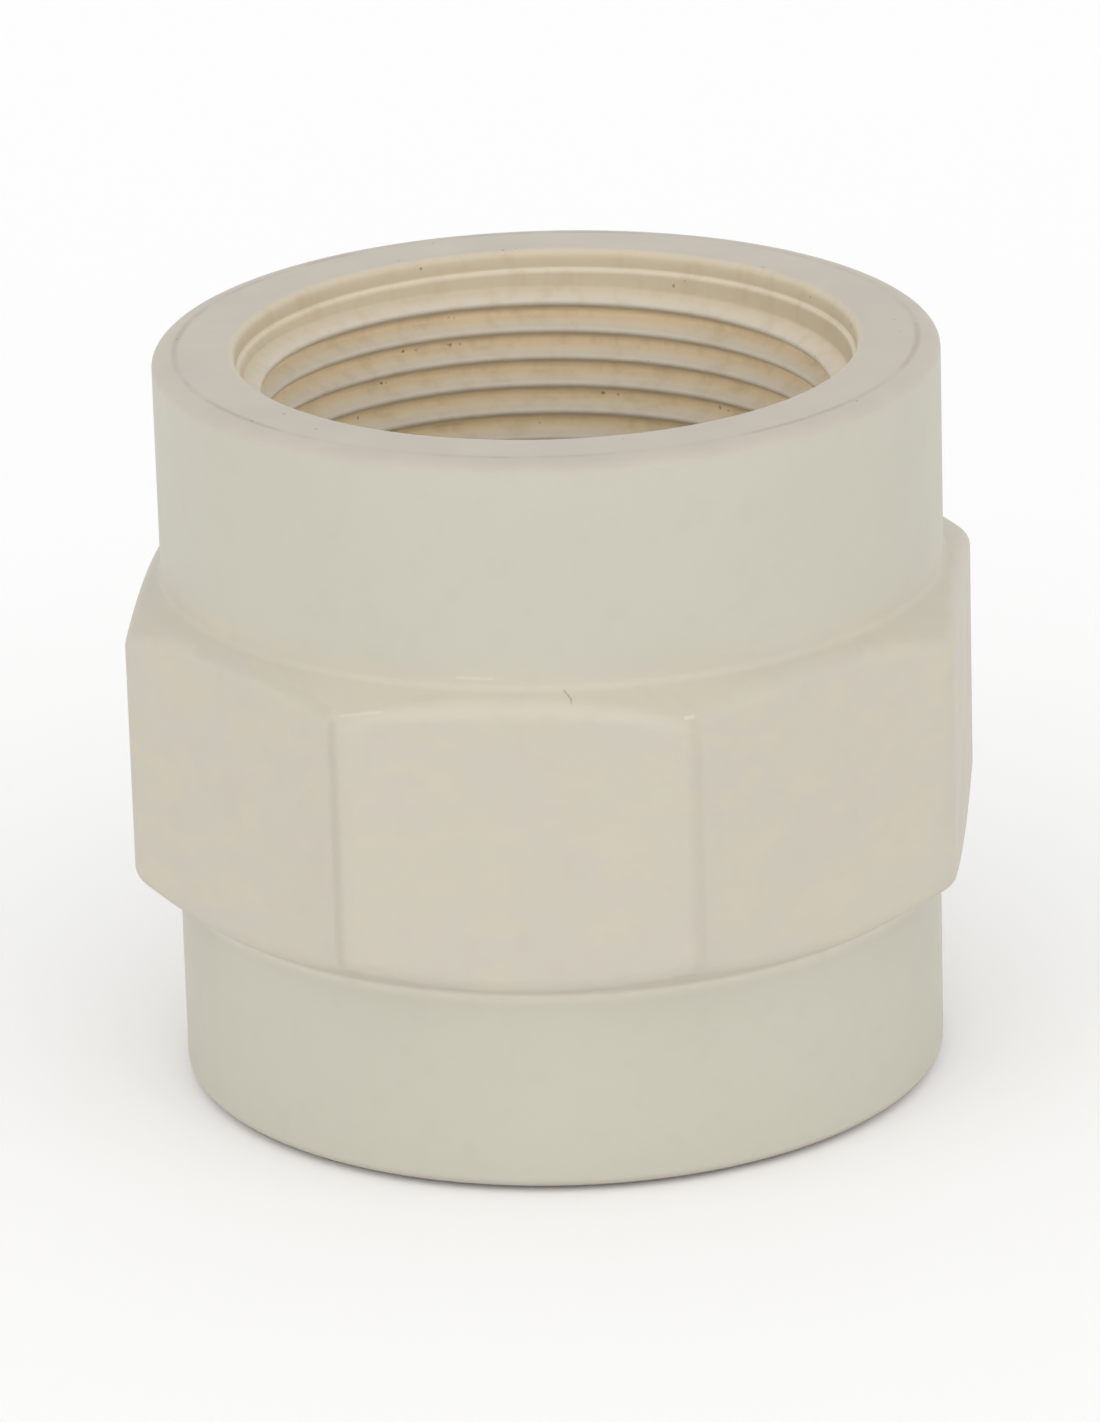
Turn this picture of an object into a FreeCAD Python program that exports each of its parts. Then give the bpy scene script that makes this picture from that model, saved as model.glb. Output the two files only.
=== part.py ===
import FreeCAD, Part

import math
import os

from FreeCAD import Vector

# Threaded pipe coupling, moulded in one piece: a round collar at each end, an eight-sided grip
# band between them, and a right-hand parallel pipe thread running in from each mouth.
# Millimetres. The origin is the centre of the bottom face, +Z runs along the bore, and two of
# the band's flats face +Y and -Y.

# Collars
HEIGHT = 59.6
TOP_COLLAR_R = 31.0
BOTTOM_COLLAR_R = 30.5
RIM_ROUND_RADIAL = 1.75          # how far the rounding of an outer rim reaches in over the face
RIM_ROUND_AXIAL = 1.0            # and how far it reaches along the wall

# Eight-sided grip band, with a cone at each end like the chamfers of a nut
SIDES = 8
ACROSS_FLATS = 65.0
CORNER_ROUND_R = 2.5
BAND_BOTTOM_Z = 16.35            # where the lower cone leaves the bottom collar
BAND_TOP_Z = 41.65               # where the upper cone leaves the top collar
LOWER_CONE_SLOPE = 0.62          # rise of the lower cone for each millimetre outwards
UPPER_CONE_SLOPE = 0.577         # fall of the upper cone for each millimetre outwards
CONE_FOOT_ROUND_R = 0.8
CONE_EDGE_ROUND_R = 1.8

# Pipe thread G 1 1/2: Whitworth form, 11 turns to the inch, with the crests left flat
PITCH = 25.4 / 11
MAJOR_R = 47.803 / 2
MINOR_R = 44.845 / 2
FLANK_ANGLE = math.radians(27.5)
ROOT_ROUND_R = 0.137329 * PITCH
GROOVE_TURNS = 9
FIRST_GROOVE_DEPTH = 1.09        # depth of the groove's centre where it ends, on the +X side
GROOVE_OVERCUT = 0.25            # how far the groove's tool stands out into the open bore

# Mouth and bore, as depths below the end face
MOUTH_R = 24.45
MOUTH_DEPTH = 1.6
RELIEF_R = 24.1
RELIEF_DEPTH = 2.4
LEAD_IN_DEPTH = 3.6              # where the lead-in cone reaches the thread's crests
THREAD_DEPTH = 24.0
SHOULDER_CONE = 0.9              # the cone from the thread's end down to the middle bore
MIDDLE_BORE_R = 21.5

QUARTERS = 4
Z_AXIS = Vector(0, 0, 1)
ORIGIN = Vector(0, 0, 0)


def point(radius, height):
    """A point of an outline that is turned about Z."""
    return Vector(radius, 0, height)


def lines(*points):
    """Straight edges from point to point."""
    return [Part.LineSegment(a, b).toShape() for a, b in zip(points, points[1:])]


def rounded_corner(before, corner, after, radius):
    """A circular arc that rounds one corner of an outline, with its two tangent points."""
    back = (before - corner).normalize()
    on = (after - corner).normalize()
    half = back.getAngle(on) / 2
    start = corner + back * (radius / math.tan(half))
    end = corner + on * (radius / math.tan(half))
    towards_centre = (back + on).normalize()
    middle = corner + towards_centre * (radius / math.sin(half) - radius)
    return start, Part.Arc(start, middle, end).toShape(), end


def rim(collar_r, face_z, inward):
    """The elliptical quarter between a collar's wall and its end face, with its two ends."""
    centre = point(collar_r - RIM_ROUND_RADIAL, face_z + inward * RIM_ROUND_AXIAL)
    wall_end = point(collar_r, centre.z)
    face_end = point(centre.x, face_z)
    ellipse = Part.Ellipse(wall_end, face_end, centre)
    quarter = Part.ArcOfEllipse(ellipse, 0, math.pi / 2)
    return wall_end, quarter.toShape(), face_end


def turned(edges, angle=360):
    """The solid that a closed outline sweeps out about Z."""
    return Part.Face(Part.Wire(Part.__sortEdges__(edges))).revolve(ORIGIN, Z_AXIS, angle)


def turned_in_quarters(edges):
    """The same solid as four quarter turns, whose joints stay clear of the groove's own."""
    step = 360 / QUARTERS
    quarter = turned(edges, step)
    pieces = []
    for i in range(QUARTERS):
        piece = quarter.copy()
        piece.rotate(ORIGIN, Z_AXIS, (i + 0.5) * step)
        pieces.append(piece)
    return pieces[0].multiFuse(pieces[1:])


def envelope():
    """Both collars and the two cones, turned, before the band's flats are cut."""
    bottom_foot = point(BOTTOM_COLLAR_R, BAND_BOTTOM_Z)
    top_foot = point(TOP_COLLAR_R, BAND_TOP_Z)
    gap = top_foot.z - bottom_foot.z + UPPER_CONE_SLOPE * TOP_COLLAR_R + LOWER_CONE_SLOPE * BOTTOM_COLLAR_R
    meet_r = gap / (UPPER_CONE_SLOPE + LOWER_CONE_SLOPE)
    meet = point(meet_r, bottom_foot.z + LOWER_CONE_SLOPE * (meet_r - bottom_foot.x))
    low_wall, low_rim, low_face = rim(BOTTOM_COLLAR_R, 0, 1)
    high_wall, high_rim, high_face = rim(TOP_COLLAR_R, HEIGHT, -1)
    low_start, low_arc, low_end = rounded_corner(low_wall, bottom_foot, meet, CONE_FOOT_ROUND_R)
    high_start, high_arc, high_end = rounded_corner(meet, top_foot, high_wall, CONE_FOOT_ROUND_R)
    outline = [low_rim, low_arc, high_arc, high_rim]
    outline += lines(low_wall, low_start) + lines(low_end, meet, high_start) + lines(high_end, high_wall)
    outline += lines(high_face, point(0, HEIGHT), point(0, 0), low_face)
    return turned(outline)


def octagon_prism():
    """The band's eight flats as a prism over the whole height, with its corners rounded."""
    corner_r = ACROSS_FLATS / 2 / math.cos(math.pi / SIDES)
    turns = [2 * math.pi * (i + 0.5) / SIDES for i in range(SIDES + 1)]
    outline = Part.makePolygon([Vector(corner_r * math.cos(t), corner_r * math.sin(t), 0) for t in turns])
    prism = Part.Face(outline).extrude(Vector(0, 0, HEIGHT))
    uprights = [e for e in prism.Edges if e.BoundBox.ZLength > HEIGHT / 2]
    return prism.makeFillet(CORNER_ROUND_R, uprights)


def outside():
    """The coupling's outer shape: the flats cut through the cones but clear both collars."""
    block = envelope().common(octagon_prism())
    cone_edges = [e for e in block.Edges
                  if not isinstance(e.Curve, Part.Line)
                  and e.BoundBox.ZMin > BAND_BOTTOM_Z + CONE_FOOT_ROUND_R / 2
                  and e.BoundBox.ZMax < BAND_TOP_Z - CONE_FOOT_ROUND_R / 2]
    return block.makeFillet(CONE_EDGE_ROUND_R, cone_edges)


def bore_half():
    """The open space from the top mouth down to the middle, without the thread's groove."""
    def below(radius, depth):
        return point(radius, HEIGHT - depth)

    above = HEIGHT + 1
    return turned_in_quarters(lines(
        point(0, above), point(MOUTH_R, above), below(MOUTH_R, MOUTH_DEPTH), below(RELIEF_R, MOUTH_DEPTH),
        below(RELIEF_R, RELIEF_DEPTH), below(MINOR_R, LEAD_IN_DEPTH), below(MINOR_R, THREAD_DEPTH),
        below(MIDDLE_BORE_R, THREAD_DEPTH + SHOULDER_CONE), point(MIDDLE_BORE_R, HEIGHT / 2),
        point(0, HEIGHT / 2), point(0, above)))


def helix(start_z, turns):
    """A right-hand helix at the thread's minor radius, from +X at start_z, in quarter turns."""
    rise = PITCH / QUARTERS
    edges = []
    for i in range(turns * QUARTERS):
        piece = Part.makeHelix(PITCH, rise, MINOR_R)
        piece.rotate(ORIGIN, Z_AXIS, i * 360 / QUARTERS)
        piece.translate(Z_AXIS * (start_z + i * rise))
        edges += piece.Edges
    return Part.Wire(edges)


def groove():
    """The thread's groove at the top mouth: its Whitworth section swept up the helix."""
    centre_z = HEIGHT - FIRST_GROOVE_DEPTH - GROOVE_TURNS * PITCH
    root_r = MAJOR_R - ROOT_ROUND_R * (1 - math.sin(FLANK_ANGLE))
    root_half = ROOT_ROUND_R * math.cos(FLANK_ANGLE)
    open_r = MINOR_R - GROOVE_OVERCUT
    open_half = root_half + (root_r - open_r) * math.tan(FLANK_ANGLE)
    root_low, root_high = point(root_r, centre_z - root_half), point(root_r, centre_z + root_half)
    root = Part.Arc(root_low, point(MAJOR_R, centre_z), root_high).toShape()
    flanks = lines(root_high, point(open_r, centre_z + open_half), point(open_r, centre_z - open_half),
                   root_low)
    section = Part.Wire(Part.__sortEdges__([root] + flanks))
    return helix(centre_z, GROOVE_TURNS).makePipeShell([section], True, True)


def at_other_end(tool):
    """The same tool turned end over end, which keeps a right-hand thread right-handed."""
    other = tool.copy()
    other.rotate(Vector(0, 0, HEIGHT / 2), Vector(1, 0, 0), 180)
    return other


def coupling_body():
    body = outside()
    for tool in (bore_half(), groove()):
        for cutter in (tool, at_other_end(tool)):
            body = body.cut(cutter)
    return body.Solids[0]


def main():
    os.makedirs("parts", exist_ok=True)
    coupling_body().exportStep("parts/coupling_body.step")


main()
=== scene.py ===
import math

import bmesh
import bpy
from mathutils import Matrix, Vector

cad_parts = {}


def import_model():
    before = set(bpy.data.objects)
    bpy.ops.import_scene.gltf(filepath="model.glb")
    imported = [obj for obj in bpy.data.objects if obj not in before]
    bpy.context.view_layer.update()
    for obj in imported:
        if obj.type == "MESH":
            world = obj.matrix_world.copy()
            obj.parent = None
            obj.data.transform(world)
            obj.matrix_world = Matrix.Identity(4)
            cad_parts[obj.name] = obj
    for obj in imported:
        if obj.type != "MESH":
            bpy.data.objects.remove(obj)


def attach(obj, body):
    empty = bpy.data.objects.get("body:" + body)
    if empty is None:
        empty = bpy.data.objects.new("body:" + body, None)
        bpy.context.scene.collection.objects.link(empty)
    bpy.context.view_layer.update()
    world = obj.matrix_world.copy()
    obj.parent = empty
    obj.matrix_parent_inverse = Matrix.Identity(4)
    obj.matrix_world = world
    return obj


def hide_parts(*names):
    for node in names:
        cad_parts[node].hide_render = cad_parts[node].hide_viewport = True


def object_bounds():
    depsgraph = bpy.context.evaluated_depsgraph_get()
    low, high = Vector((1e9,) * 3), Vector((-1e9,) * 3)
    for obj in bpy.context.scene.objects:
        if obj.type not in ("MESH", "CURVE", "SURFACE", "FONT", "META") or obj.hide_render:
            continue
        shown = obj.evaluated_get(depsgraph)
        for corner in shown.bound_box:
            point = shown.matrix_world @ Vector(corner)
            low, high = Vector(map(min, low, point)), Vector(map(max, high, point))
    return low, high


# A moulded threaded pipe coupling: one cream plastic piece with a round collar at each end, an
# eight-sided grip band between them, and a pipe thread in each mouth. Lengths are in millimetres
# until the mesh is made. Angles are in degrees, anticlockwise about +Z from the front, which is -Y.

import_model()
cad_low, cad_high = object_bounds()

MM = 0.001
HEIGHT = (cad_high.z - cad_low.z) / MM
APOTHEM = (cad_high.y - cad_low.y) / 2 / MM

# Collars and grip band
TOP_COLLAR_R = 31.0
BOTTOM_COLLAR_R = 30.5
RIM_RADIAL = 1.75
RIM_AXIAL = 1.0
RIM_LINE_R = 29.2                # where dirt gathers on an end face
SIDES = 8
CORNER_R = 2.5
BAND_BOTTOM = 16.35
BAND_TOP = 41.65
LOWER_SLOPE = 0.62
UPPER_SLOPE = 0.577
FOOT_R = 0.8
EDGE_R = 1.8
SINK = 0.07                      # how far the middle of a flat has shrunk in

# Pipe thread, Whitworth form
PITCH = 25.4 / 11
MAJOR_R = 47.803 / 2
MINOR_R = 44.845 / 2
FLANK = math.radians(27.5)
ROUND_R = 0.137329 * PITCH
GROOVE_END = 1.09                       # depth at which the CAD's groove ends, on the +X side
FIRST_ROOT = GROOVE_END + 1.25 * PITCH  # depth of the first root at the front, a turn and a quarter in
TURNS = 9
FADE_OUT = (296.0, 350.0)        # angles over which the first turn fades out at the mouth
FADE_IN = (4.0, 70.0)            # and over which the last turn fades in at the shoulder

# Mouth and bore
MOUTH_R = 24.45
MOUTH_ROUND = 0.7
LEDGE_DEPTH = 1.6
LEDGE_R = 24.1
LEDGE_ROUND = 0.25
SHOULDER_DEPTH = 24.1
MIDDLE_R = 21.5
MIDDLE_DEPTH = 25.0
WALL_STEPS = 4                   # rows of mesh from the ledge to the thread

# Marks that use has left: the turn of the top groove that holds grit, and the angle
GROOVE_GRIT = ((1, -155), (2, -155), (2, -145), (3, -140), (4, 150), (4, 175))
MOUTH_GRIT = (-150, 105)
RIM_GRIT = (-90, -45)
CORNER = 180 / SIDES             # from the middle of a flat to the band's corner

# Light: the studio's strength level with the part and straight overhead
LEVEL_LIGHT = 1.12
OVERHEAD_LIGHT = 0.66

# Camera, fitted to the photo's outline
CAMERA_AZIMUTH = 6.0
CAMERA_ELEVATION = 19.96
CAMERA_ROLL = -1.689
CAMERA_DISTANCE = 0.6937
LENS = 220.2


def smooth_step(low, high, value):
    """0 below low, 1 above high, and smooth between."""
    t = min(1.0, max(0.0, (value - low) / (high - low)))
    return t * t * (3 - 2 * t)


# ---------------------------------------------------------------- outlines

def arc(centre, radii, start, end, steps):
    """Points of an elliptical arc in the (radius, height) plane, ends included."""
    turns = [math.radians(start + (end - start) * i / steps) for i in range(steps + 1)]
    return [(centre[0] + radii[0] * math.cos(a), centre[1] + radii[1] * math.sin(a)) for a in turns]


def fillet(before, corner, after, radius, steps):
    """An arc of that radius in a corner of an outline, ends included."""
    before, corner, after = Vector(before), Vector(corner), Vector(after)
    back = (before - corner).normalized()
    on = (after - corner).normalized()
    half = back.angle(on) / 2
    centre = corner + (back + on).normalized() * (radius / math.sin(half))
    first = corner + back * (radius / math.tan(half)) - centre
    last = corner + on * (radius / math.tan(half)) - centre
    whole = math.pi - 2 * half
    points = []
    for i in range(steps + 1):
        a = whole * i / steps
        p = centre + (first * math.sin(whole - a) + last * math.sin(a)) / math.sin(whole)
        points.append((p.x, p.y))
    return points


def between(a, b, steps):
    """Points strictly between two points."""
    return [(a[0] + (b[0] - a[0]) * i / steps, a[1] + (b[1] - a[1]) * i / steps) for i in range(1, steps)]


def side_angle(theta):
    """Angle from the middle of the nearest flat."""
    step = 360 / SIDES
    return (theta + step / 2) % step - step / 2


def band_radius(theta):
    """Radius of the eight-sided band, with its corners rounded."""
    a = abs(math.radians(side_angle(theta)))
    half = math.pi / SIDES
    flat_end = math.atan((APOTHEM - CORNER_R) * math.tan(half) / APOTHEM)
    if a <= flat_end:
        return APOTHEM / math.cos(a)
    b = half - a
    out = (APOTHEM - CORNER_R) / math.cos(half)
    return out * math.cos(b) + math.sqrt(CORNER_R ** 2 - (out * math.sin(b)) ** 2)


def outer_outline(theta):
    """The outside from the bottom mouth to the top mouth, as (radius, height) points."""
    reach = band_radius(theta)
    flat = side_angle(theta) / (180 / SIDES)
    low_foot = (BOTTOM_COLLAR_R, BAND_BOTTOM)
    high_foot = (TOP_COLLAR_R, BAND_TOP)
    low_edge = (reach, BAND_BOTTOM + LOWER_SLOPE * (reach - BOTTOM_COLLAR_R))
    high_edge = (reach, BAND_TOP - UPPER_SLOPE * (reach - TOP_COLLAR_R))
    low_rim = arc((BOTTOM_COLLAR_R - RIM_RADIAL, RIM_AXIAL), (RIM_RADIAL, RIM_AXIAL), -90, 0, 9)
    high_rim = arc((TOP_COLLAR_R - RIM_RADIAL, HEIGHT - RIM_AXIAL), (RIM_RADIAL, RIM_AXIAL), 0, 90, 9)
    a = fillet(low_rim[-1], low_foot, low_edge, FOOT_R, 5)
    b = fillet(low_foot, low_edge, high_edge, EDGE_R, 8)
    c = fillet(low_edge, high_edge, high_foot, EDGE_R, 8)
    d = fillet(high_edge, high_foot, high_rim[0], FOOT_R, 5)
    sunk = []
    for i, (r, z) in enumerate(between(b[-1], c[0], 12)):
        t = (i + 1) / 6 - 1
        sunk.append((r - SINK * (1 - flat ** 2) ** 2 * (1 - t ** 4), z))
    low_mouth, high_mouth = (MOUTH_R + MOUTH_ROUND, 0), (MOUTH_R + MOUTH_ROUND, HEIGHT)
    points = between(low_mouth, low_rim[0], 3) + low_rim
    points += between(low_rim[-1], a[0], 4) + a + between(a[-1], b[0], 3) + b
    points += sunk + c + between(c[-1], d[0], 3) + d + between(d[-1], high_rim[0], 4)
    return points + high_rim + between(high_rim[-1], high_mouth, 3)


def thread_profile():
    """One pitch of the thread from root to root, as (axial distance, radius) points."""
    tangent = math.pi / 2 - FLANK
    steps = [tangent * i / 3 for i in range(4)]
    root = [(ROUND_R * math.sin(a), MAJOR_R - ROUND_R * (1 - math.cos(a))) for a in steps]
    crest = [(PITCH / 2 - ROUND_R * math.sin(a), MINOR_R + ROUND_R * (1 - math.cos(a)))
             for a in reversed(steps)]
    half = root + crest
    return half + [(PITCH - s, r) for s, r in reversed(half[1:-1])]


# ---------------------------------------------------------------- mesh

def spot(theta, radius, height):
    """The place, in metres, at that angle and radius and height in millimetres."""
    t = math.radians(theta)
    return Vector((radius * math.sin(t), -radius * math.cos(t), height)) * MM


def column_angles():
    """The angles of the mesh's columns, closest together at the band's corners."""
    offsets = [0.26, 0.52, 0.78, 1.04, 1.3, 1.56, 1.95, 2.6, 3.6, 5.1, 7.1, 9.5, 12.4, 15.6, 19.0]
    half = 180 / SIDES
    one_side = [-half, 0] + [o - half for o in offsets] + [half - o for o in offsets]
    return sorted((a + 2 * half * k) % 360 for k in range(SIDES) for a in one_side)


class Skin:
    """Points and faces of one mesh."""

    def __init__(self):
        self.points = []
        self.faces = []

    def add(self, theta, radius, height):
        self.points.append(spot(theta, radius, height))
        return len(self.points) - 1

    def strip(self, left, right):
        """Quads between two lines of as many points."""
        for i in range(len(left) - 1):
            self.faces.append((left[i], left[i + 1], right[i + 1], right[i]))

    def bridge(self, rings):
        """Quads between closed rings, one after the other."""
        for one, other in zip(rings, rings[1:]):
            self.strip(one + one[:1], other + other[:1])

    def stitch(self, left, right):
        """Triangles between two lines that run the same way, with any number of points each."""
        i = j = 0
        while i < len(left) - 1 or j < len(right) - 1:
            step_left = j == len(right) - 1
            if not step_left and i < len(left) - 1:
                by_left = self.points[left[i + 1]] - self.points[right[j]]
                by_right = self.points[right[j + 1]] - self.points[left[i]]
                step_left = by_left.length < by_right.length
            if step_left:
                self.faces.append((left[i], left[i + 1], right[j]))
                i += 1
            else:
                self.faces.append((left[i], right[j + 1], right[j]))
                j += 1


def threaded_end(skin, angles, flipped):
    """The mouth, thread and shoulder of one end. Returns its first and last rings."""

    def place(theta, radius, depth):
        return skin.add(180 - theta, radius, depth) if flipped else skin.add(theta, radius, HEIGHT - depth)

    def ring(radius, depth):
        return [place(a, radius, depth) for a in angles]

    quarter = [math.radians(15 * i) for i in range(7)]
    mouth = [(MOUTH_R + MOUTH_ROUND * (1 - math.sin(a)), MOUTH_ROUND * (1 - math.cos(a))) for a in quarter]
    mouth += [(MOUTH_R - 0.02, 1.0), (MOUTH_R - 0.04, LEDGE_DEPTH - 0.08)]
    mouth += [(MOUTH_R - 0.06, LEDGE_DEPTH - 0.01)]
    mouth += [(LEDGE_R + LEDGE_ROUND * (1 - math.sin(a)), LEDGE_DEPTH + LEDGE_ROUND * (1 - math.cos(a)))
              for a in quarter]
    mouth_rings = [ring(r, d) for r, d in mouth]
    skin.bridge(mouth_rings)

    profile = thread_profile()
    per_pitch = len(profile)
    last_row = (TURNS - 1) * per_pitch + per_pitch // 2
    slope = (LEDGE_R - MAJOR_R) / (FIRST_ROOT - LEDGE_DEPTH)

    def row_point(k, theta):
        """A point of the thread's row k, which climbs one pitch in a turn."""
        turn, part = divmod(k, per_pitch)
        s, r = profile[part]
        depth = FIRST_ROOT + turn * PITCH + s - PITCH * theta / 360
        if k < per_pitch:
            wall = LEDGE_R - slope * (depth - LEDGE_DEPTH)
            r = wall + (1 - smooth_step(*FADE_OUT, theta)) * (r - wall)
        if k > last_row - per_pitch:
            r = MINOR_R + smooth_step(*FADE_IN, theta) * (r - MINOR_R)
        return r, depth

    lines = []
    for i, theta in enumerate(angles):
        wall = between(mouth[-1], row_point(0, theta), WALL_STEPS)
        rows = [row_point(k, theta) for k in range(last_row + 1)]
        plain = between(rows[-1], (MINOR_R, SHOULDER_DEPTH), 5)
        lines.append([mouth_rings[-1][i]] + [place(theta, r, d) for r, d in wall + rows + plain])
    shoulder = ring(MINOR_R, SHOULDER_DEPTH)
    lines = [line + [end] for line, end in zip(lines, shoulder)]
    for left, right in zip(lines, lines[1:]):
        skin.strip(left, right)

    # Where a turn ends, the rows on one side are a pitch ahead of the rows on the other.
    left, right = lines[-1], lines[0]
    first = WALL_STEPS
    ahead = first + per_pitch
    shared = last_row - per_pitch
    skin.stitch(left[:ahead + 1], right[:first + 1])
    skin.strip(left[ahead:ahead + shared + 1], right[first:first + shared + 1])
    skin.stitch(left[ahead + shared:], right[first + shared:])

    corner, cone_end = (MINOR_R, SHOULDER_DEPTH + 0.2), (MIDDLE_R, MIDDLE_DEPTH)
    cone = fillet((MINOR_R, SHOULDER_DEPTH), corner, cone_end, 0.15, 3)
    cone += fillet(corner, cone_end, (MIDDLE_R, MIDDLE_DEPTH + 5), 0.4, 4)
    cone_rings = [ring(r, d) for r, d in cone]
    skin.bridge([shoulder] + cone_rings)
    if flipped:
        back = {round((180 - a) % 360, 4): i for i, a in enumerate(angles)}
        order = [back[round(a, 4) % 360] for a in angles]
        return [mouth_rings[0][i] for i in order], [cone_rings[-1][i] for i in order]
    return mouth_rings[0], cone_rings[-1]


def coupling_mesh():
    """The whole skin as one closed mesh, facing outwards."""
    angles = column_angles()
    skin = Skin()
    top_mouth, top_middle = threaded_end(skin, angles, False)
    bottom_mouth, bottom_middle = threaded_end(skin, angles, True)
    outlines = [outer_outline(a) for a in angles]
    outer = [[skin.add(a, *line[k]) for a, line in zip(angles, outlines)] for k in range(len(outlines[0]))]
    skin.bridge([bottom_mouth] + outer + [top_mouth])
    heights = [h for _, h in between((0, MIDDLE_DEPTH), (0, HEIGHT - MIDDLE_DEPTH), 5)]
    middle = [[skin.add(a, MIDDLE_R, h) for a in angles] for h in heights]
    skin.bridge([bottom_middle] + middle + [top_middle])
    mesh = bpy.data.meshes.new("coupling_body_visual")
    mesh.from_pydata(skin.points, [], skin.faces)
    work = bmesh.new()
    work.from_mesh(mesh)
    bmesh.ops.recalc_face_normals(work, faces=work.faces)
    if work.calc_volume(signed=True) < 0:
        bmesh.ops.reverse_faces(work, faces=work.faces)
    work.to_mesh(mesh)
    work.free()
    mesh.shade_smooth()
    return mesh


# ---------------------------------------------------------------- materials

class Nodes:
    """Adds nodes to one material's tree."""

    def __init__(self, name):
        self.material = bpy.data.materials.new(name)
        self.material.use_nodes = True
        self.tree = self.material.node_tree
        self.shader = next(n for n in self.tree.nodes if n.type == "BSDF_PRINCIPLED")

    def feed(self, socket, value):
        if isinstance(value, bpy.types.NodeSocket):
            self.tree.links.new(value, socket)
        else:
            socket.default_value = value

    def position(self):
        return self.tree.nodes.new("ShaderNodeTexCoord").outputs["Object"]

    def split(self, vector, axis):
        node = self.tree.nodes.new("ShaderNodeSeparateXYZ")
        self.feed(node.inputs["Vector"], vector)
        return node.outputs[axis]

    def noise(self, vector, scale, detail=3.0, roughness=0.55):
        node = self.tree.nodes.new("ShaderNodeTexNoise")
        self.feed(node.inputs["Vector"], vector)
        self.feed(node.inputs["Scale"], scale)
        self.feed(node.inputs["Detail"], detail)
        self.feed(node.inputs["Roughness"], roughness)
        return node.outputs["Fac"]

    def noise_vector(self, vector, scale):
        node = self.tree.nodes.new("ShaderNodeTexNoise")
        self.feed(node.inputs["Vector"], vector)
        self.feed(node.inputs["Scale"], scale)
        return node.outputs["Color"]

    def cells(self, vector, scale):
        """Distance to the nearest of a set of scattered points."""
        node = self.tree.nodes.new("ShaderNodeTexVoronoi")
        self.feed(node.inputs["Vector"], vector)
        self.feed(node.inputs["Scale"], scale)
        return node.outputs["Distance"]

    def ramp(self, value, low, high, out_low=0.0, out_high=1.0):
        """Goes smoothly from one output to the other as the value goes from low to high."""
        node = self.tree.nodes.new("ShaderNodeMapRange")
        node.interpolation_type = "SMOOTHSTEP"
        for name, v in (("Value", value), ("From Min", low), ("From Max", high),
                        ("To Min", out_low), ("To Max", out_high)):
            self.feed(node.inputs[name], v)
        return node.outputs["Result"]

    def zone(self, length, low, high, out_low=0.0, out_high=1.0):
        """A ramp whose limits are in millimetres."""
        return self.ramp(length, low * MM, high * MM, out_low, out_high)

    def math(self, operation, a, b=0.0):
        node = self.tree.nodes.new("ShaderNodeMath")
        node.operation = operation
        self.feed(node.inputs[0], a)
        self.feed(node.inputs[1], b)
        return node.outputs["Value"]

    def vector(self, operation, a, b=(0, 0, 0), output="Vector"):
        node = self.tree.nodes.new("ShaderNodeVectorMath")
        node.operation = operation
        self.feed(node.inputs[0], a)
        self.feed(node.inputs[1], b)
        return node.outputs[output]

    def scaled(self, vector, amount):
        node = self.tree.nodes.new("ShaderNodeVectorMath")
        node.operation = "SCALE"
        self.feed(node.inputs["Vector"], vector)
        self.feed(node.inputs["Scale"], amount)
        return node.outputs["Vector"]

    def mix(self, factor, a, b):
        node = self.tree.nodes.new("ShaderNodeMix")
        node.data_type = "RGBA"
        self.feed(node.inputs["Factor"], factor)
        self.feed(node.inputs["A"], a)
        self.feed(node.inputs["B"], b)
        return node.outputs["Result"]

    def bump(self, height, strength, distance, normal=None):
        node = self.tree.nodes.new("ShaderNodeBump")
        self.feed(node.inputs["Height"], height)
        self.feed(node.inputs["Strength"], strength)
        self.feed(node.inputs["Distance"], distance)
        if normal is not None:
            self.feed(node.inputs["Normal"], normal)
        return node.outputs["Normal"]


def linear(red, green, blue):
    """A colour given as 0 to 255 in sRGB."""
    values = [v / 255 for v in (red, green, blue)]
    return tuple(v / 12.92 if v <= 0.04045 else ((v + 0.055) / 1.055) ** 2.4 for v in values) + (1.0,)


def groove_spot(turn, theta):
    """A place at the root of the top thread's groove, on that turn counted from the mouth."""
    return spot(theta, MAJOR_R, HEIGHT - FIRST_ROOT - PITCH * (turn - theta % 360 / 360))


def cone_spot(theta, share):
    """A place on the upper cone, that share of the way from its foot to the flats' top edge."""
    out = share * (band_radius(theta) - TOP_COLLAR_R)
    return spot(theta, TOP_COLLAR_R + out, BAND_TOP - UPPER_SLOPE * out)


def arc_line(start, end, steps, place, half_width, strength):
    """Marks that follow place(angle) from one angle to the other."""
    points = [place(start + (end - start) * i / steps) for i in range(steps + 1)]
    return [(p, q, half_width, strength) for p, q in zip(points, points[1:])]


def grit():
    """Specks in the top thread, each with a fainter one beside it, and in the mouth and on the rim."""
    shapes = []
    for i, (turn, theta) in enumerate(GROOVE_GRIT):
        size = 0.16 + 0.05 * (i % 3)
        shapes.append((groove_spot(turn, theta), None, size, 0.5 + 0.15 * (i % 4)))
        shapes.append((groove_spot(turn + 0.04, theta - 1 - i % 3), None, size * 0.8, 0.45))
    shapes += [(spot(a, MOUTH_R, HEIGHT - MOUTH_ROUND), None, 0.2, 0.7) for a in MOUTH_GRIT]
    return shapes + [(spot(a, RIM_LINE_R, HEIGHT), None, 0.2, 0.5) for a in RIM_GRIT]


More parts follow.
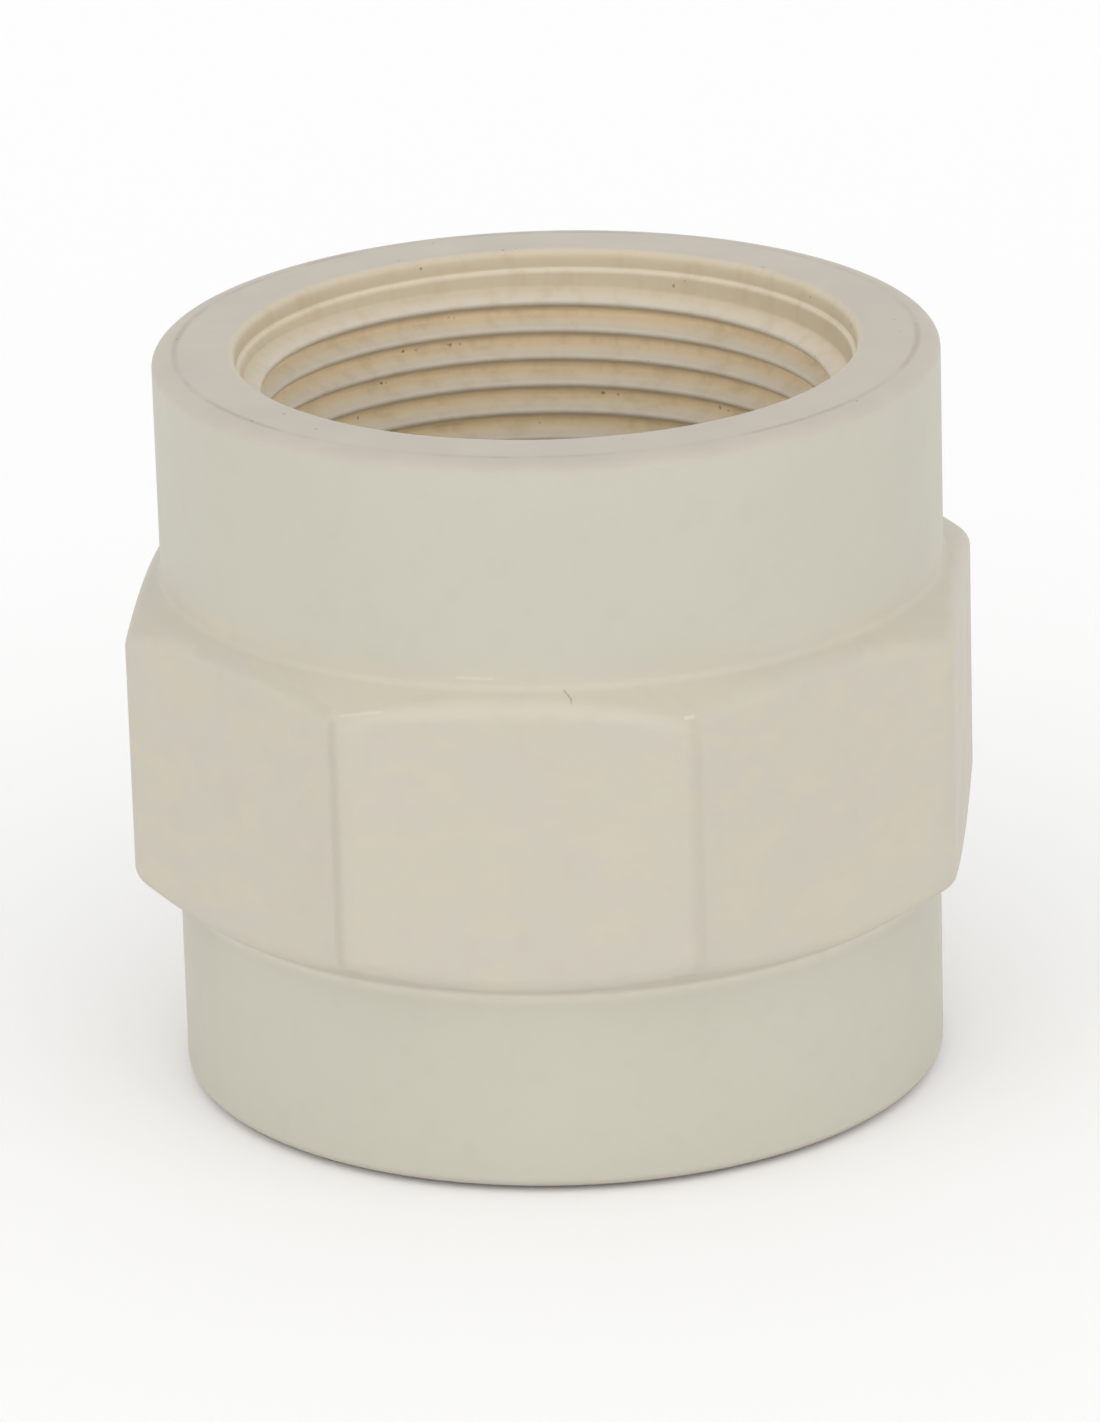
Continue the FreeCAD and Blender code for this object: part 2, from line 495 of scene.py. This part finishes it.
def shaded_edges():
    """Painted shade along the front flat's upright corners and along its neighbours' top edges."""
    shapes = []
    for side, half_width, strength in ((-1, 0.75, 0.19), (1, 1.0, 0.1)):
        reach = band_radius(CORNER)
        upright = [spot(side * (CORNER + 1), reach, h) for h in (BAND_BOTTOM + 3, BAND_TOP - 2.5)]
        shapes.append((*upright, half_width, strength))
        shapes += arc_line(side * 52, side * 25, 2, lambda a: cone_spot(a, 0.9), 0.9, strength * 0.7)
    return shapes


def painted_highlights():
    """Painted highlights: the top edge of the front flat by its corners, and the cone's foot."""
    shapes = arc_line(-CORNER, -CORNER + 5, 1, lambda a: cone_spot(a, 0.85), 0.2, 0.16)
    shapes += arc_line(CORNER, CORNER + 1, 1, lambda a: cone_spot(a, 0.85), 0.26, 0.28)
    return shapes + arc_line(-8, -3, 1, lambda a: spot(a, TOP_COLLAR_R, BAND_TOP + FOOT_R), 0.2, 0.13)


def fibre():
    """A short reddish fibre stuck to the cone at the front, bowed to one side."""
    bow = [(7, 0.05), (8, 0.5), (8, 0.95)]
    points = [cone_spot(theta, share) for theta, share in bow]
    return [(p, q, 0.11, 0.55) for p, q in zip(points, points[1:])]


def marks(n, place, shapes):
    """How strongly each place is covered by marks: start, end or None, half width, strength."""
    cover = 0.0
    for start, end, half_width, strength in shapes:
        nearest = start
        if end is not None:
            run = end - start
            offset = n.vector("SUBTRACT", place, start)
            share = n.vector("DOT_PRODUCT", offset, run / run.length_squared, "Value")
            share = n.math("MINIMUM", n.math("MAXIMUM", share), 1.0)
            nearest = n.vector("ADD", start, n.scaled(run, share))
        distance = n.vector("DISTANCE", place, nearest, "Value")
        mark = n.zone(distance, half_width * 0.2, half_width, strength, 0.0)
        cover = n.math("MAXIMUM", cover, mark)
    return cover


class Surface:
    """A point's place on the coupling: height, radius, and depth from the nearer end face."""

    def __init__(self, n):
        self.place = n.position()
        self.height = n.split(self.place, "Z")
        flat = n.vector("MULTIPLY", self.place, (1, 1, 0))
        self.radius = n.vector("LENGTH", flat, output="Value")
        off_middle = n.math("ABSOLUTE", n.math("SUBTRACT", self.height, HEIGHT / 2 * MM))
        self.depth = n.math("SUBTRACT", HEIGHT / 2 * MM, off_middle)
        shake = n.vector("SUBTRACT", n.noise_vector(self.place, 2500.0), (0.5, 0.5, 0.5))
        self.shaken = n.vector("ADD", self.place, n.scaled(shake, 0.45 * MM))


def collar_colour(n, at):
    return n.mix(n.ramp(n.noise(at.place, 55.0), 0.38, 0.62), linear(191, 188, 173), linear(192, 189, 174))


def end_face_colour(n, at):
    return n.mix(n.ramp(n.noise(at.place, 150.0), 0.35, 0.65), linear(188, 181, 169), linear(192, 184, 171))


def band_colour(n, at):
    """Pinker than the collars, with yellowish flecks, a painted highlight that makes the upper cone lighter
    and yellower at the front, and painted light that lightens the shaded crease under the band.
    """
    colour = n.mix(n.ramp(n.noise(at.place, 130.0), 0.4, 0.6), linear(193, 187, 174), linear(194, 188, 172))
    flattened = n.vector("MULTIPLY", at.place, (1, 1, 2.2))
    flecks = n.ramp(n.noise(flattened, 190.0, 2.0), 0.52, 0.66, 0.0, 0.4)
    colour = n.mix(flecks, colour, linear(200, 191, 168))
    # Painted highlight: the upper cone, between the flats' top edge and the collar, is painted lighter and
    # yellower at the front only.
    above_flats = n.zone(at.height, BAND_TOP - 2.45, BAND_TOP - 1.65)
    below_collar = n.zone(at.height, BAND_TOP + 0.15, BAND_TOP + 1.35, 1.0, 0.0)
    cone = n.math("MULTIPLY", above_flats, below_collar)
    cone = n.math("MULTIPLY", cone, n.zone(n.split(at.place, "Y"), -30.0, -24.0, 1.0, 0.0))
    colour = n.mix(cone, colour, linear(197, 191, 173))
    # Painted light: a lighter colour along the crease just under the band, to lighten the shade there.
    painted_crease_light = n.zone(at.height, BAND_BOTTOM + 0.05, BAND_BOTTOM + 0.85, 1.0, 0.0)
    return n.mix(painted_crease_light, colour, linear(206, 200, 186))


def outside_colour(n, at):
    lower_collar = n.zone(at.height, BAND_BOTTOM - 1.05, BAND_BOTTOM + 0.15, 1.0, 0.0)
    upper_collar = n.zone(at.height, BAND_TOP + 1.25, BAND_TOP + 2.05)
    on_collar = n.math("MAXIMUM", lower_collar, upper_collar)
    colour = n.mix(on_collar, band_colour(n, at), collar_colour(n, at))
    colour = n.mix(n.zone(at.depth, 0.5, 1.2), end_face_colour(n, at), colour)
    return n.mix(n.ramp(n.noise(at.place, 420.0, 2.0), 0.5, 0.75, 0.0, 0.16), colour, linear(186, 177, 163))


def bore_colour(n, at):
    """Pale crests, a warmer mouth with a painted highlight along the ledge, grooves and deeper bore painted
    lighter and warmer as painted light that offsets their shade over a real warm tint, and faint stains
    that run along the bore.
    """
    wall = n.mix(n.zone(at.depth, 0.7, 1.5), linear(210, 197, 172), linear(200, 187, 161))
    # Painted highlight: a lighter ring on the mouth wall along the ledge.
    off_ledge = n.math("ABSOLUTE", n.math("SUBTRACT", at.depth, (LEDGE_DEPTH + 0.1) * MM))
    wall = n.mix(n.zone(off_ledge, 0.1, 0.35, 1.0, 0.0), wall, linear(216, 204, 182))
    # Painted light: the thread's roots are painted much lighter and warmer, and lighter still deeper in, to
    # offset the shade in the grooves and the bore; part of the warmth is the plastic's real tint.
    root = n.mix(n.zone(at.depth, 3.0, 5.2), wall, linear(243, 227, 197))
    root = n.mix(n.zone(at.depth, 5.0, 15.0), root, linear(250, 236, 206))
    colour = n.mix(n.zone(at.radius, MINOR_R, MAJOR_R), linear(206, 197, 181), root)
    streaks = n.noise(n.vector("MULTIPLY", at.place, (1, 1, 0.3)), 700.0, 4.0)
    return n.mix(n.ramp(streaks, 0.45, 0.7, 0.0, 0.2), colour, linear(178, 152, 112))


def dirt_line(n, at):
    """A broken line of dirt round each end face, where the rounding of the rim begins."""
    off_line = n.math("ABSOLUTE", n.math("SUBTRACT", at.radius, RIM_LINE_R * MM))
    on_face = n.zone(at.depth, 0.05, 0.3, 1.0, 0.0)
    line = n.math("MULTIPLY", n.zone(off_line, 0.03, 0.42, 1.0, 0.0), on_face)
    return n.math("MULTIPLY", line, n.ramp(n.noise(at.place, 120.0, 4.0), 0.42, 0.62, 0.05, 0.25))


def dirt(n, at):
    """Small specks scattered over the bore and the end faces, and the listed grit."""
    specks = n.ramp(n.cells(at.shaken, 330.0), 0.02, 0.055, 0.5, 0.0)
    within_bore = n.zone(at.radius, MOUTH_R, MOUTH_R + MOUTH_ROUND, 1.0, 0.0)
    end_face = n.zone(at.depth, 0.1, 0.4, 1.0, 0.0)
    specks = n.math("MULTIPLY", specks, n.math("MAXIMUM", within_bore, end_face))
    return n.math("MAXIMUM", specks, marks(n, at.shaken, grit()))


def plastic():
    """Cream moulded plastic with a satin surface, the marks that use has left on it, and painted shade and
    painted highlights.
    """
    n = Nodes("cream_plastic_moulded")
    at = Surface(n)
    outside = n.zone(at.radius, MOUTH_R, MOUTH_R + MOUTH_ROUND)
    colour = n.mix(outside, bore_colour(n, at), outside_colour(n, at))
    colour = n.mix(dirt_line(n, at), colour, linear(118, 96, 92))
    # Painted shade: darker lines down the front flat's corners and along the side flats' top edges.
    colour = n.mix(marks(n, at.shaken, shaded_edges()), colour, linear(150, 142, 122))
    # Painted highlights along the front flat's top edge and along the cone's foot.
    colour = n.mix(marks(n, at.place, painted_highlights()), colour, linear(238, 232, 216))
    colour = n.mix(marks(n, at.place, fibre()), colour, linear(160, 120, 110))
    colour = n.mix(dirt(n, at), colour, linear(74, 50, 34))
    n.feed(n.shader.inputs["Base Color"], colour)
    n.feed(n.shader.inputs["Roughness"], n.ramp(n.noise(at.place, 160.0), 0.3, 0.7, 0.48, 0.56))
    n.shader.inputs["IOR"].default_value = 1.49
    fine = n.bump(n.noise(at.place, 2600.0, 2.0), 0.12, 0.00005)
    n.feed(n.shader.inputs["Normal"], n.bump(n.noise(at.place, 90.0, 2.0), 0.25, 0.0003, fine))
    return n.material


def floor_material():
    """Matt and nearly white."""
    n = Nodes("pale_floor")
    n.shader.inputs["Base Color"].default_value = (0.98, 0.98, 0.98, 1)
    n.shader.inputs["Roughness"].default_value = 0.9
    n.shader.inputs["Specular IOR Level"].default_value = 0.2
    return n.material


# ---------------------------------------------------------------- pieces

coupling = bpy.data.objects.new("coupling_body_visual", coupling_mesh())
bpy.context.scene.collection.objects.link(coupling)
coupling.data.materials.append(plastic())
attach(coupling, "root")
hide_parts("coupling_body")


# ---------------------------------------------------------------- floor, light, camera

def floor():
    """A wide square just under the part."""
    half, gap = 3.0, 0.0002
    mesh = bpy.data.meshes.new("floor")
    corners = [(-half, -half), (half, -half), (half, half), (-half, half)]
    mesh.from_pydata([(x, y, cad_low.z - gap) for x, y in corners], [], [(0, 1, 2, 3)])
    obj = bpy.data.objects.new("floor", mesh)
    bpy.context.scene.collection.objects.link(obj)
    mesh.materials.append(floor_material())


def aim(obj, place, target):
    """Puts a lamp at a place, pointing at the target."""
    direction = Vector(target) - Vector(place)
    obj.matrix_world = Matrix.Translation(place) @ direction.to_track_quat("-Z", "Y").to_matrix().to_4x4()


def sky_light(name, azimuth, elevation, angle, strength):
    """Even light from one side of the sky, with soft shadows."""
    light = bpy.data.lights.new(name, "SUN")
    light.energy = strength
    light.angle = math.radians(angle)
    obj = bpy.data.objects.new(name, light)
    bpy.context.scene.collection.objects.link(obj)
    a, e = math.radians(azimuth), math.radians(elevation)
    aim(obj, (math.sin(a) * math.cos(e), -math.cos(a) * math.cos(e), math.sin(e)), (0, 0, 0))


def camera():
    """A long lens from a little above and a little to the right, as the photo was taken."""
    azimuth, elevation = math.radians(CAMERA_AZIMUTH), math.radians(CAMERA_ELEVATION)
    roll = math.radians(CAMERA_ROLL)
    right = Vector((math.cos(azimuth), math.sin(azimuth), 0))
    forward = Vector((-math.sin(azimuth) * math.cos(elevation), math.cos(azimuth) * math.cos(elevation),
                      -math.sin(elevation)))
    up = right.cross(forward)
    side = math.cos(roll) * right + math.sin(roll) * up
    top = -math.sin(roll) * right + math.cos(roll) * up
    target = Vector((0, 0, 0.48 * HEIGHT * MM)) - right * 0.0005
    place = target - forward * CAMERA_DISTANCE
    data = bpy.data.cameras.new("camera")
    data.sensor_width = 36.0
    data.lens = LENS
    data.clip_end = 20.0
    obj = bpy.data.objects.new("camera", data)
    bpy.context.scene.collection.objects.link(obj)
    turn = Matrix((side, top, -forward)).transposed().to_4x4()
    obj.matrix_world = Matrix.Translation(place) @ turn
    bpy.context.scene.camera = obj


def world():
    """A pale studio all round, brightest level with the part and dimmer overhead."""
    studio = bpy.data.worlds.new("studio")
    bpy.context.scene.world = studio
    studio.use_nodes = True
    tree = studio.node_tree
    direction = tree.nodes.new("ShaderNodeTexCoord")
    height = tree.nodes.new("ShaderNodeSeparateXYZ")
    dimming = tree.nodes.new("ShaderNodeMapRange")
    dimming.inputs["To Min"].default_value = LEVEL_LIGHT
    dimming.inputs["To Max"].default_value = OVERHEAD_LIGHT
    tree.links.new(direction.outputs["Generated"], height.inputs["Vector"])
    tree.links.new(height.outputs["Z"], dimming.inputs["Value"])
    tree.links.new(dimming.outputs["Result"], tree.nodes["Background"].inputs["Strength"])
    tree.nodes["Background"].inputs["Color"].default_value = (1, 1, 1, 1)


floor()
sky_light("key", 6, 45, 95, 0.88)
camera()
world()
bpy.context.scene.view_settings.view_transform = "Standard"
